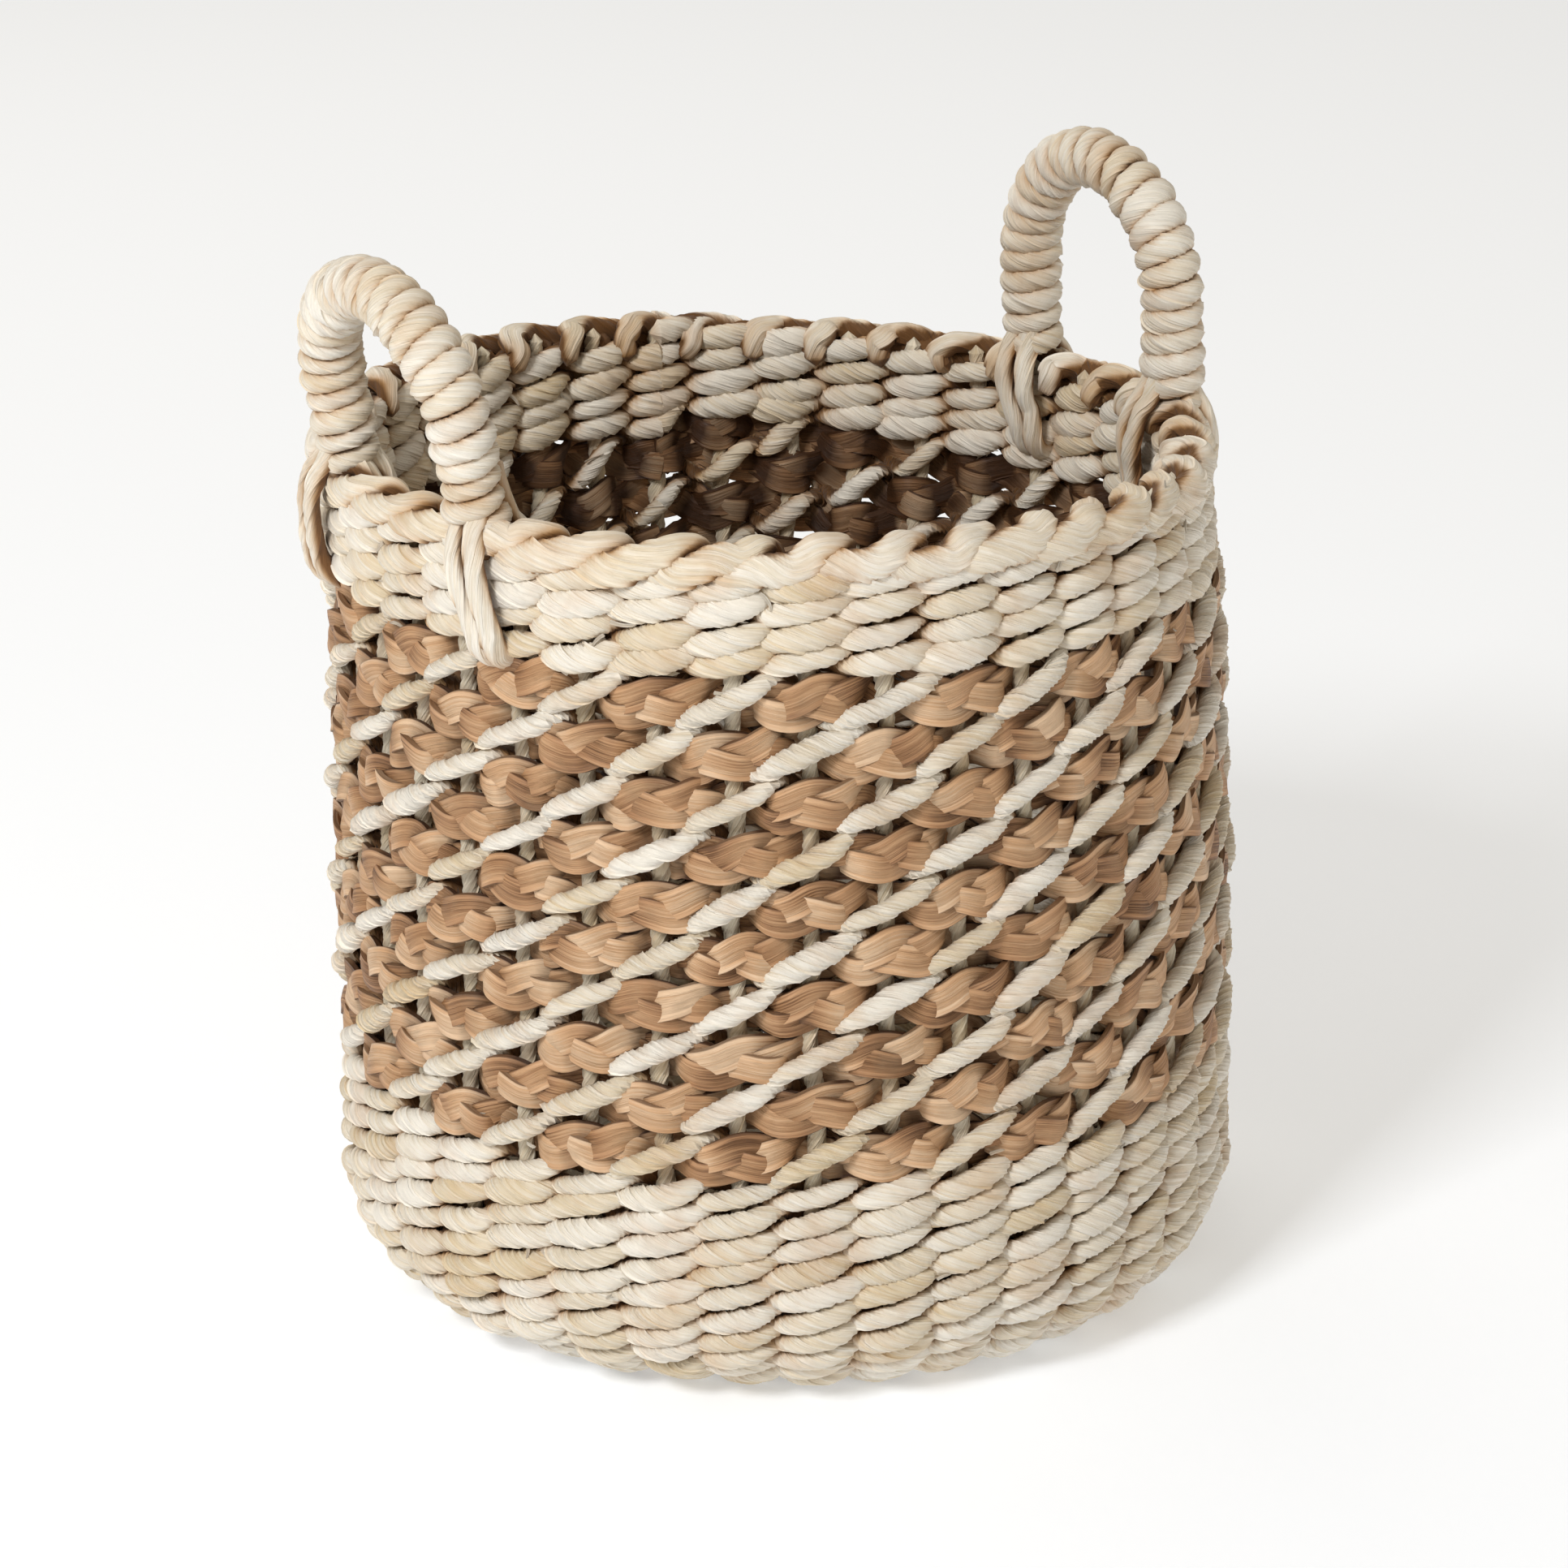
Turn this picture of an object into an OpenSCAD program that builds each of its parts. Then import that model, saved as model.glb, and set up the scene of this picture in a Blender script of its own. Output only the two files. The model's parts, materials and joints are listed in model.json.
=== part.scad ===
// Round twined basket with two upright wrapped handles.
// The wall is built like the real one: stakes in the middle, and rows of strands that pass
// in front of and behind them. Each row is drawn as two rings, the strands where they are
// outside the stakes and the strands where they are inside.
// Millimetres. Origin at the centre of the underside, +Z up, handles on -X (left) and +X.

/* [Basket] */
// Radius of the flat part of the underside
flat_r = 112; // [90:1:140]
// Outer radius of the rounded bottom edge
corner_r = 40; // [32:1:50]
// Inward lean of the wall, in degrees
wall_lean = 1.35; // [0:0.05:3]

/* [Weave] */
// Number of stakes, odd so that the strands alternate from row to row
stake_count = 37; // [31:2:41]
// Diameter of a stake
stake_d = 5; // [4:0.5:6]
// Thickness of a strand, through the wall
strand_t = 5.5; // [4.5:0.5:6]
// Clearance between a strand and the stakes
strand_gap = 0.5; // [0.3:0.1:1]
// Clearance between a row and the next one
row_gap = 0.2; // [0.1:0.1:0.5]

/* [Rows] */
// Radial width of a round in the flat base
base_pitch = 8.6; // [8:0.1:10]
// Number of rounds in the flat base
base_count = 10; // [8:1:11]
// Number of rows in the rounded bottom edge
corner_count = 7; // [4:1:7]
// Height of a cream row below the brown band
lower_pitch = 8.4; // [8:0.1:10]
// Number of cream rows below the brown band
lower_count = 5; // [3:1:8]
// Height of a brown row
middle_pitch = 16.8; // [14:0.1:20]
// Number of brown rows
middle_count = 10; // [6:1:12]
// Height of a cream row above the brown band
upper_pitch = 8.6; // [8:0.1:10]
// Number of cream rows above the brown band
upper_count = 4; // [4:1:6]
// Height of the folded border on the rim
border_h = 8.6; // [8:0.1:12]

/* [Handles] */
// Distance between the two legs of a handle
leg_span = 80; // [70:1:100]
// Length of a straight leg above its pivot
leg_h = 26.5; // [20:0.5:60]
// Diameter of the wrapped grip
grip_d = 21; // [19:0.5:24]
// Diameter of the core under the wrapping
core_d = 10; // [8:0.5:11]
// Depth of the pivots below the top of the rim
pivot_drop = 1.5; // [0:0.5:2]
// Height of the wrapping's lower end above the pivot
wrap_start = 8; // [7.5:0.5:9]
// Outward lean of the left handle at rest, in degrees
left_lean = 10; // [-5:1:12]
// Outward lean of the right handle at rest, in degrees
right_lean = -2; // [-12:1:5]
// Diameter of the cords that tie a leg to the wall
tie_d = 7.6; // [6:0.1:7.6]

/* [Hidden] */
$fn = 72;
cream = [0.90, 0.84, 0.70];
brown = [0.66, 0.49, 0.35];
straw = [0.84, 0.76, 0.60];

// Wall section: a stake between two strands
strand_off = stake_d / 2 + strand_gap + strand_t / 2;
wall_t = 2 * (strand_off + strand_t / 2);
base_in = flat_r - base_pitch * base_count;

// Bottom edge: the wall's centre line turns through an arc and then leans in
bend_r = corner_r - wall_t / 2;
bend_deg = 90 + wall_lean;
foot = [flat_r + bend_r * cos(wall_lean), corner_r + bend_r * sin(wall_lean)];
up = [-sin(wall_lean), cos(wall_lean)];
outward = [cos(wall_lean), sin(wall_lean)];
bend_steps = 12;

// Distances up the straight wall, from the end of the rounded edge
middle_s = lower_pitch * lower_count;
upper_s = middle_s + middle_pitch * middle_count;
border_s = upper_s + upper_pitch * upper_count;
rim = foot + (border_s + border_h) * up;

// Base cross
cross_d = 5.4;
cross_pitch = 5.5;
cross_rods = 5;
cross_axis_z = 2.2;
cross_len = 42;
cross_lift = cross_d + 0.1;

// Every other stake begins further out, where there is room for it
inner_start = base_in + 2;
outer_start = base_in + 28;

// Handles
pivot_r = rim[0];
pivot_z = rim[1] - pivot_drop;
pivot_x = sqrt(pow(pivot_r, 2) - pow(leg_span / 2, 2));
leg_deg = asin(leg_span / 2 / pivot_r);
stake_deg = 360 / stake_count;
ball_d = 12;
arch_r = leg_span / 2;

// A tie's route in the plane of its leg: distance outward and height, from the pivot
tie_route = [
    [7, -2.6], [12.8, -5.8], [14.7, -12.5], [14.5, -20], [14.3, -28],
    [14, -36.5], [13, -42], [9.4, -45.6], [4, -46.4], [-2, -46.4],
    [-8, -45.6], [-12, -42], [-12.8, -36.5], [-12.9, -28], [-13.1, -20],
    [-13.5, -12.5], [-12.3, -5.8], [-7, -2.6],
];
tie_half_gap = 4.1;
tie_sides = 10;
tie_turn_z = -33;
tie_exit_z = -46.4;
tie_notch = [48, 18.5, 10.5];
leg_notch = [24, 18.5, 24];

function two(n) = n < 10 ? str("0", n) : str(n);
function names(stem, count) = [for (k = [1:count]) str(stem, "_", two(k))];
handle_parts = ["core", "winding", "front_ties", "rear_ties"];

NODES = concat(
    ["base_cross"],
    names("base_round", base_count),
    ["stakes"],
    names("corner_row", corner_count),
    names("lower_row", lower_count),
    names("middle_row", middle_count),
    names("upper_row", upper_count),
    ["rim_border"],
    [for (side = ["left", "right"], p = handle_parts) str(side, "_handle_", p)]
);
node = "all";

function wanted(name) = node == "all" || node == name;

// Flat strand section with round edges. half is from its centre to the centre of an edge.
module strand_section(half) {
    square([strand_t, 2 * half], center = true);
    for (s = [-1, 1])
        translate([0, s * half]) circle(d = strand_t);
}

// Two strands centred on a point of the wall, turned to face along the wall
module wall_rings(at, turn, half_out, half_in) {
    rotate_extrude()
        translate(at) rotate(turn) translate([strand_off, 0]) strand_section(half_out);
    rotate_extrude()
        translate(at) rotate(turn) translate([-strand_off, 0]) strand_section(half_in);
}

function flat_half(pitch) = pitch / 2 - strand_t / 2 - row_gap / 2;

// Half length of a section that fits in a wedge of the bend, at radius r from its centre
function wedge_half(r, half_deg) =
    (r * sin(half_deg) - strand_t / 2 - row_gap / 2) / cos(half_deg);

module base_round(k) {
    half = flat_half(base_pitch);
    at = [base_in + (k - 0.5) * base_pitch, wall_t / 2];
    color(cream) wall_rings(at, -90, half, half);
}

module corner_row(k) {
    step = bend_deg / corner_count;
    turn = -90 + (k - 0.5) * step;
    at = [flat_r + bend_r * cos(turn), corner_r + bend_r * sin(turn)];
    color(cream)
        wall_rings(at, turn, wedge_half(bend_r + strand_off, step / 2),
            wedge_half(bend_r - strand_off, step / 2));
}

module wall_row(start_s, pitch, k) {
    half = flat_half(pitch);
    wall_rings(foot + (start_s + (k - 0.5) * pitch) * up, wall_lean, half, half);
}

module lower_row(k) {
    color(cream) wall_row(0, lower_pitch, k);
}

// The last brown row has four gaps, where the ties go through the wall
module middle_row(k) {
    color(brown)
        if (k < middle_count)
            wall_row(middle_s, middle_pitch, k);
        else
            difference() {
                wall_row(middle_s, middle_pitch, k);
                for (side = [-1, 1], end = [-1, 1])
                    tie_frame(side, end)
                        translate([0, tie_shift(side, end), tie_exit_z]) cube(tie_notch, center = true);
            }
}

module upper_row(k) {
    color(cream) wall_row(upper_s, upper_pitch, k);
}

// The stakes' ends, folded over the rim one after another, with a gap for each leg
module rim_border() {
    d = border_h - row_gap;
    color(cream)
        difference() {
            rotate_extrude()
                translate(foot + (border_s + border_h / 2) * up) rotate(wall_lean) {
                    square([wall_t - d, d], center = true);
                    for (s = [-1, 1])
                        translate([s * (wall_t - d) / 2, 0]) circle(d = d);
                }
            for (side = [-1, 1], end = [-1, 1])
                tie_frame(side, end) cube(leg_notch, center = true);
        }
}

// Two layers of flattened cords that cross at the centre of the base
module base_cross() {
    color(straw) {
        cross_layer(cross_axis_z);
        rotate(90) cross_layer(cross_axis_z + cross_lift);
    }
}

module cross_layer(axis_z) {
    for (k = [0:cross_rods - 1])
        intersection() {
            translate([-cross_len / 2, (k - (cross_rods - 1) / 2) * cross_pitch, axis_z])
                rotate([0, 90, 0]) cylinder(d = cross_d, h = cross_len);
            translate([-cross_len, -cross_len, 0]) cube([2 * cross_len, 2 * cross_len, wall_t]);
        }
}

// One side of a stake, off millimetres outward from the wall's centre line
function stake_side(start_r, off) = concat(
    [[start_r, wall_t / 2 - off]],
    [
        for (i = [0:bend_steps])
            let (a = bend_deg * i / bend_steps - 90)
            [flat_r + (bend_r + off) * cos(a), corner_r + (bend_r + off) * sin(a)]
    ],
    [foot + (border_s - row_gap) * up + off * outward]
);

function reversed(list) = [for (i = [len(list) - 1:-1:0]) list[i]];

// One cord from the base, round the edge and up the wall
module stake(start_r) {
    rotate([90, 0, 0]) linear_extrude(stake_d, center = true)
        polygon(concat(stake_side(start_r, stake_d / 2), reversed(stake_side(start_r, -stake_d / 2))));
}

module stakes() {
    color(straw)
        for (k = [0:stake_count - 1])
            rotate(k * stake_deg) stake(k % 2 == 0 && k < stake_count - 1 ? inner_start : outer_start);
}

// Draws what it is given at a handle's pivot line. side is -1 on the left and 1 on the right.
// In this frame +X points outward, and the handle leans outward by lean.
module handle_frame(side, lean) {
    rotate(side > 0 ? 0 : 180) translate([pivot_x, 0, pivot_z]) rotate([0, lean, 0]) children();
}

function lean_of(side) = side > 0 ? right_lean : left_lean;

// The hoop inside the wrapping. A ball on each end sits on the pivot line.
module handle_core(side) {
    color(straw)
        handle_frame(side, lean_of(side)) {
            for (end = [-1, 1])
                translate([0, end * arch_r, 0]) {
                    sphere(d = ball_d);
                    cylinder(d = core_d, h = leg_h);
                }
            translate([0, 0, leg_h]) rotate([0, -90, 0]) rotate(-90)
                rotate_extrude(angle = 180) translate([arch_r, 0]) circle(d = core_d);
        }
}

// The wrapped cord, as one sleeve round the hoop
module handle_winding(side) {
    bore = core_d + row_gap;
    color(cream)
        handle_frame(side, lean_of(side)) {
            for (end = [-1, 1])
                translate([0, end * arch_r, wrap_start])
                    difference() {
                        cylinder(d = grip_d, h = leg_h - wrap_start);
                        translate([0, 0, -1]) cylinder(d = bore, h = leg_h - wrap_start + 2);
                    }
            translate([0, 0, leg_h]) rotate([0, -90, 0]) rotate(-90)
                rotate_extrude(angle = 180) translate([arch_r, 0])
                    difference() {
                        circle(d = grip_d);
                        circle(d = bore);
                    }
        }
}

// Draws at a leg's pivot, with +X outward through the wall. end is -1 or 1, towards Y.
module tie_frame(side, end) {
    rotate((side > 0 ? 0 : 180) + side * end * leg_deg) translate([pivot_r, 0, pivot_z]) children();
}

// How far sideways a tie goes to pass midway between two stakes, in its leg's frame
function tie_shift(side, end) =
    let (leg = (side > 0 ? 0 : 180) + side * end * leg_deg)
    let (gap = (floor(leg / stake_deg) + 0.5) * stake_deg)
    pivot_r * sin(gap - leg);

function tie_point(p, shift, strand) =
    [p[0], strand * tie_half_gap + shift * min(1, p[1] / tie_turn_z), p[1]];

function unit(v) = v / norm(v);

// Round tube along points, each ring square to the route
module sweep(points, r, sides) {
    last = len(points) - 1;
    rings = [
        for (i = [0:last])
            let (along = unit(points[min(i + 1, last)] - points[max(i - 1, 0)]))
            let (across = unit(cross(along, [0, 1, 0])))
            let (level = cross(across, along))
            for (j = [0:sides - 1])
                let (a = 360 * j / sides)
                points[i] + r * (cos(a) * across + sin(a) * level)
    ];
    sides_faces = [
        for (i = [0:last - 1], j = [0:sides - 1])
            let (n = (j + 1) % sides, low = i * sides, high = low + sides)
            each [[low + j, high + j, high + n], [low + j, high + n, low + n]]
    ];
    caps = [
        [for (j = [0:sides - 1]) j],
        [for (j = [0:sides - 1]) last * sides + sides - 1 - j]
    ];
    polyhedron(rings, concat(sides_faces, caps));
}

// Two cords that hang a leg on the wall: down the outside, through the wall, up the inside
module handle_ties(side, end) {
    color(cream)
        tie_frame(side, end)
            for (strand = [-1, 1])
                sweep([for (p = tie_route) tie_point(p, tie_shift(side, end), strand)],
                    tie_d / 2, tie_sides);
}

if (wanted("base_cross")) base_cross();
for (k = [1:base_count]) if (wanted(str("base_round_", two(k)))) base_round(k);
if (wanted("stakes")) stakes();
for (k = [1:corner_count]) if (wanted(str("corner_row_", two(k)))) corner_row(k);
for (k = [1:lower_count]) if (wanted(str("lower_row_", two(k)))) lower_row(k);
for (k = [1:middle_count]) if (wanted(str("middle_row_", two(k)))) middle_row(k);
for (k = [1:upper_count]) if (wanted(str("upper_row_", two(k)))) upper_row(k);
if (wanted("rim_border")) rim_border();
if (wanted("left_handle_core")) handle_core(-1);
if (wanted("left_handle_winding")) handle_winding(-1);
if (wanted("left_handle_front_ties")) handle_ties(-1, 1);
if (wanted("left_handle_rear_ties")) handle_ties(-1, -1);
if (wanted("right_handle_core")) handle_core(1);
if (wanted("right_handle_winding")) handle_winding(1);
if (wanted("right_handle_front_ties")) handle_ties(1, -1);
if (wanted("right_handle_rear_ties")) handle_ties(1, 1);
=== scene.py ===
"""Looks of a round twined basket with two wrapped handles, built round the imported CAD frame.

Lengths are in millimetres until a mesh is made. Everything woven is a swept cord: a route, a
section that may swell and flatten along it, and columns that follow the fibres round the cord.
A place on the wall is given by w, the distance from the centre of the base out and up the
middle of the wall, by theta, the angle round the basket, and by off, outward from the middle.
"""
import json
import math

import bpy
import numpy as np
from mathutils import Matrix, Vector


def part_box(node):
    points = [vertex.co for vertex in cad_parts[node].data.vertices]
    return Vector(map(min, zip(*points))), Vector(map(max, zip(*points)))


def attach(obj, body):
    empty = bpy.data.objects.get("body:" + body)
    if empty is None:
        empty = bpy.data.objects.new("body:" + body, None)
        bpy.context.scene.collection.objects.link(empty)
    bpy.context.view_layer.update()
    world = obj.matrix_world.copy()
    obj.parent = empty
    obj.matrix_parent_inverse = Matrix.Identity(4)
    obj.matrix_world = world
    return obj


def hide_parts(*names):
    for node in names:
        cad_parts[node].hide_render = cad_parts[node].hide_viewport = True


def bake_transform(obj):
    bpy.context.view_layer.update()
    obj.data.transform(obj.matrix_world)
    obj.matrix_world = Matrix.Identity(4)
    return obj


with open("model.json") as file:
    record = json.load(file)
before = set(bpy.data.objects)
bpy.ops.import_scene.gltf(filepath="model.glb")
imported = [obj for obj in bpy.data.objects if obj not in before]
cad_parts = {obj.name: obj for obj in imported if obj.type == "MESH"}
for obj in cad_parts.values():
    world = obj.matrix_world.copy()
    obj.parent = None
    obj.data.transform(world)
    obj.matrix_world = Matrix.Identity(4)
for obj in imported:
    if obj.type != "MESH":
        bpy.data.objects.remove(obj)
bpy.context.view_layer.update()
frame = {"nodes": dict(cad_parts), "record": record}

MM = 0.001
TAU = 2 * math.pi
STAKES = 37
STAKE_STEP = TAU / STAKES


# ---------------------------------------------------------------- places from the frame

def node_box(node):
    """Lowest and highest corners of a CAD node, in millimetres."""
    low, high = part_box(node)
    return np.array(low) / MM, np.array(high) / MM


def joint_at(name):
    """Where a joint of the record is, in millimetres."""
    joints = frame["record"]["behaviour"]["joints"]
    return np.array(next(j for j in joints if j["name"] == name)["pos_m"]) / MM


def count_of(stem):
    return sum(name.startswith(stem) for name in frame["nodes"])


BASE_ROUNDS, CORNER_ROWS = count_of("base_round_"), count_of("corner_row_")
LOWER_ROWS, MIDDLE_ROWS, UPPER_ROWS = (count_of(s) for s in ("lower_row_", "middle_row_", "upper_row_"))

ROW_GAP = 0.2
FIRST_ROUND, LAST_ROUND = (node_box(f"base_round_{k:02d}")[1] for k in (1, BASE_ROUNDS))
WALL_FOOT = node_box("lower_row_01")[1]
WALL_T = FIRST_ROUND[2]
BASE_PITCH = (LAST_ROUND[0] - FIRST_ROUND[0]) / (BASE_ROUNDS - 1)
FLAT_R = LAST_ROUND[0] + ROW_GAP / 2
CORNER_R = WALL_FOOT[0] - FLAT_R
BEND_R = CORNER_R - WALL_T / 2
RIM_LOW, RIM_HIGH = node_box("rim_border")
LEAN = math.atan2(WALL_FOOT[0] - RIM_HIGH[0], RIM_HIGH[2] - WALL_FOOT[2])
BEND = math.pi / 2 + LEAN
FOOT_Z = CORNER_R + BEND_R * math.sin(LEAN)
FOOT_W = FLAT_R + BEND_R * BEND
RIM_W = FOOT_W + (RIM_HIGH[2] - FOOT_Z) / math.cos(LEAN)
BORDER_H = RIM_HIGH[2] - RIM_LOW[2]


# ---------------------------------------------------------------- small maths

def smooth(x, low=0.0, high=1.0):
    """Eases from 0 at low to 1 at high."""
    t = np.clip((np.asarray(x, float) - low) / (high - low), 0, 1)
    return t * t * (3 - 2 * t)


def unit(v):
    return v / np.maximum(np.linalg.norm(v, axis=-1, keepdims=True), 1e-9)


def wave(x, seed):
    """A smooth random curve of x, about -1 to 1, from four sines."""
    rng = np.random.default_rng(seed)
    rates, starts = rng.uniform(1.0, 3.0, 4), rng.uniform(0, TAU, 4)
    return sum(np.sin(np.multiply.outer(x, r) + s) for r, s in zip(rates, starts)) / 2


def between(values, at):
    """Values of a table read at fractional places, easing from one to the next."""
    at = np.clip(at, 0, len(values) - 1.001)
    low = np.floor(at).astype(int)
    share = smooth(at - low).reshape(-1, *[1] * (values.ndim - 1))
    return values[low] * (1 - share) + values[low + 1] * share


def lengths(points):
    """Distance along a route at each of its points."""
    return np.concatenate([[0], np.cumsum(np.linalg.norm(np.diff(points, axis=0), axis=1))])


def curve_through(knots, count):
    """A smooth curve through given knots, as count points (Catmull-Rom)."""
    knots = np.array(knots, float)
    padded = np.vstack([2 * knots[0] - knots[1], knots, 2 * knots[-1] - knots[-2]])
    at = np.linspace(0, len(knots) - 1.0001, count)
    i = np.floor(at).astype(int)
    t = (at - i)[:, None]
    a, b, c, d = (padded[i + n] for n in range(4))
    square, cube = 2 * a - 5 * b + 4 * c - d, 3 * b - a - 3 * c + d
    return 0.5 * (2 * b + (c - a) * t + square * t ** 2 + cube * t ** 3)


# ---------------------------------------------------------------- the wall's shape

RIM_DRIFT, DRIFT_TO = 3.5, math.radians(147)
RIM_SAG, SAG_AT = 10.0, math.radians(-5)


def handmade(theta, w):
    """How far the wall strays from true, outward and upward: nothing on the base, most at the rim."""
    rise = smooth(w, FLAT_R + 10, RIM_W)
    out = rise * (1.5 * np.cos(2 * theta + 0.6) + 1.0 * np.cos(3 * theta - 1.1) + 0.5 * np.cos(5 * theta))
    out = out + 0.6 * np.sin(w / 31 + 2 * theta) * smooth(w, FLAT_R + 20, FLAT_R + 70)
    out = out + RIM_DRIFT * smooth(w, RIM_W - 60, RIM_W) * np.cos(theta - DRIFT_TO)
    uneven = 0.9 * np.cos(2 * theta + 1.9) + 0.8 * np.cos(3 * theta + 0.4) + 0.6 * np.cos(7 * theta + 2)
    lift = rise ** 2 * uneven - RIM_SAG * rise ** 2 * (0.5 + 0.5 * np.cos(theta - SAG_AT)) ** 2
    return out, lift


def wall(w, theta, off=0.0):
    """Points of the wall."""
    w, theta, off = np.broadcast_arrays(np.asarray(w, float), theta, off)
    a = np.clip((w - FLAT_R) / BEND_R, 0, BEND) - math.pi / 2
    up = np.maximum(w - FOOT_W, 0)
    r = np.minimum(w, FLAT_R) + BEND_R * np.cos(a) - up * math.sin(LEAN) + off * np.cos(a)
    z = CORNER_R + BEND_R * np.sin(a) + up * math.cos(LEAN) + off * np.sin(a)
    out, lift = handmade(theta, w)
    r, z = r + out, z + lift
    return np.stack([r * np.cos(theta), r * np.sin(theta), z], -1)


def wall_normal(w, theta):
    return unit(wall(w, theta, 1.0) - wall(w, theta, 0.0))


# ---------------------------------------------------------------- meshes

HUSK_ROUGH = 0.03


def husk(length, seed, strips=4, step=0.13, columns=16):
    """Angles of a cord's columns and each ring's share of the radius: strips of leaf with raised edges."""
    rng = np.random.default_rng(seed)
    edges = np.sort((np.arange(strips) + rng.uniform(-0.28, 0.28, strips)) * TAU / strips)
    inner = columns // strips - 2
    share = np.concatenate([[0], (np.arange(inner) + 1) / (inner + 1), [1]])
    spans = np.diff(np.append(edges, edges[0] + TAU))
    angles = (edges[:, None] + 0.06 + share * (spans[:, None] - 0.12)).ravel()
    saw = np.tile(step * (0.5 - share), strips)
    play = between(rng.normal(0, 1, (int(length[-1] / 12) + 4, len(angles))), length / 12)
    return angles, 1 + saw * (0.8 + 0.35 * play) + HUSK_ROUGH * play


PLAIN = np.arange(10) * TAU / 10, np.ones(10)


class Mesh:
    """Collects swept pieces and makes one object of them."""

    def __init__(self):
        self.verts, self.quads, self.tris, self.uvs, self.tri_uvs = [], [], [], [], []
        self.tone, self.shade, self.count = [], [], 0

    def sweep(self, points, normal, half_w, half_t, skin=None, turn=0.0, power=2.0, shade=0.5, tone=0.0,
              depth=None, start_v=0.0):
        """A closed tube along points.

        normal is where its thickness points, and half_w and half_t are half its width and thickness.
        skin is its columns' angles and shares of the radius, and turn spins them along it. power is 2 for
        an oval section. shade sets how pale it is. The argument after it paints shade, warm and dark, and
        on some pieces a random tint. Columns sunk below the cord's raised edges get painted crease shade.
        depth is the route's distance from the middle of the wall: skin close to the middle, deep among the
        rows, gets more painted shade."""
        points, n = np.asarray(points, float), len(points)
        along = unit(np.gradient(points, axis=0))
        normal = np.broadcast_to(normal, points.shape)
        out = unit(normal - (normal * along).sum(-1, keepdims=True) * along)
        side = np.cross(along, out)
        angles, ridge = skin or PLAIN
        m = len(angles)
        half_w, half_t, turn, shade = (np.broadcast_to(np.asarray(x, float), n)[:, None]
                                       for x in (half_w, half_t, turn, shade))
        c, s = np.cos(angles + turn), np.sin(angles + turn)
        radius = ridge / (np.abs(c / half_t) ** power + np.abs(s / half_w) ** power) ** (1 / power)
        spoke = c[..., None] * out[:, None] + s[..., None] * side[:, None]
        ring = points[:, None] + radius[..., None] * spoke
        ends = np.array([points[0] - along[0] * half_t[0], points[-1] + along[-1] * half_t[-1]])
        # Painted crease shade: columns sunk below the cord's raised edges are painted warmer and darker
        tone = tone + 1.2 * np.clip(0.98 - ridge, 0, 1) + np.zeros((n, m))
        # Painted shade where the skin lies deep among the rows, close to the middle of the wall
        if depth is not None:
            lift = radius * c * (out * unit(normal)).sum(-1)[:, None]
            tone = tone + 1.25 * (1 - smooth(np.abs(np.asarray(depth)[:, None] + lift), 0.5, 6.0))
        length = start_v + lengths(points)
        first = self.count
        self.verts += [ring.reshape(-1, 3), ends]
        self.tone += [tone.reshape(-1), tone[[0, -1], 0]]
        self.shade += [np.broadcast_to(shade, (n, m)).reshape(-1), shade[[0, -1], 0]]
        i, j = np.meshgrid(np.arange(n - 1), np.arange(m), indexing="ij")
        k = (j + 1) % m
        self.quads.append(first + np.stack([i * m + j, i * m + k, (i + 1) * m + k, (i + 1) * m + j],
                                           -1).reshape(-1, 4))
        u = np.append(angles, angles[0] + TAU) / TAU
        u0, u1, v0, v1 = u[j], u[j + 1], length[i] * 0.01, length[i + 1] * 0.01
        self.uvs.append(np.stack([u0, v0, u1, v0, u1, v1, u0, v1], -1).reshape(-1, 2))
        j = np.arange(m)
        k = (j + 1) % m
        last, low = (n - 1) * m, np.full(m, n * m)
        self.tris += [first + np.stack([k, j, low], -1), first + np.stack([last + j, last + k, low + 1], -1)]
        v = length[[0, -1]] * 0.01
        for end, (p, q) in enumerate(((u[1:], u[:-1]), (u[:-1], u[1:]))):
            flat = np.full(m, v[end])
            self.tri_uvs.append(np.stack([p, flat, q, flat, (p + q) / 2, flat], -1).reshape(-1, 2))
        self.count += n * m + 2

    def build(self, name, material, body, sharp=None):
        verts = np.concatenate(self.verts) * MM
        quads, tris = np.concatenate(self.quads), np.concatenate(self.tris)
        mesh = bpy.data.meshes.new(name)
        mesh.vertices.add(len(verts))
        mesh.vertices.foreach_set("co", verts.astype(np.float32).ravel())
        corners = np.concatenate([quads.ravel(), tris.ravel()])
        mesh.loops.add(len(corners))
        mesh.loops.foreach_set("vertex_index", corners.astype(np.int32))
        starts = np.concatenate([np.arange(len(quads)) * 4, len(quads) * 4 + np.arange(len(tris)) * 3])
        mesh.polygons.add(len(starts))
        mesh.polygons.foreach_set("loop_start", starts.astype(np.int32))
        uv = mesh.uv_layers.new(name="fibre")
        uv.data.foreach_set("uv", np.concatenate(self.uvs + self.tri_uvs).astype(np.float32).ravel())
        for key, values in (("tone", self.tone), ("shade", self.shade)):
            layer = mesh.attributes.new(key, "FLOAT", "POINT")
            layer.data.foreach_set("value", np.concatenate(values).astype(np.float32))
        mesh.update(calc_edges=True)
        mesh.validate()
        mesh.shade_smooth()
        if sharp:
            mesh.set_sharp_from_angle(angle=math.radians(sharp))
        mesh.materials.append(material)
        obj = bpy.data.objects.new(name, mesh)
        bpy.context.collection.objects.link(obj)
        if body:
            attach(obj, body)
        return obj


# ---------------------------------------------------------------- materials

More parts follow.
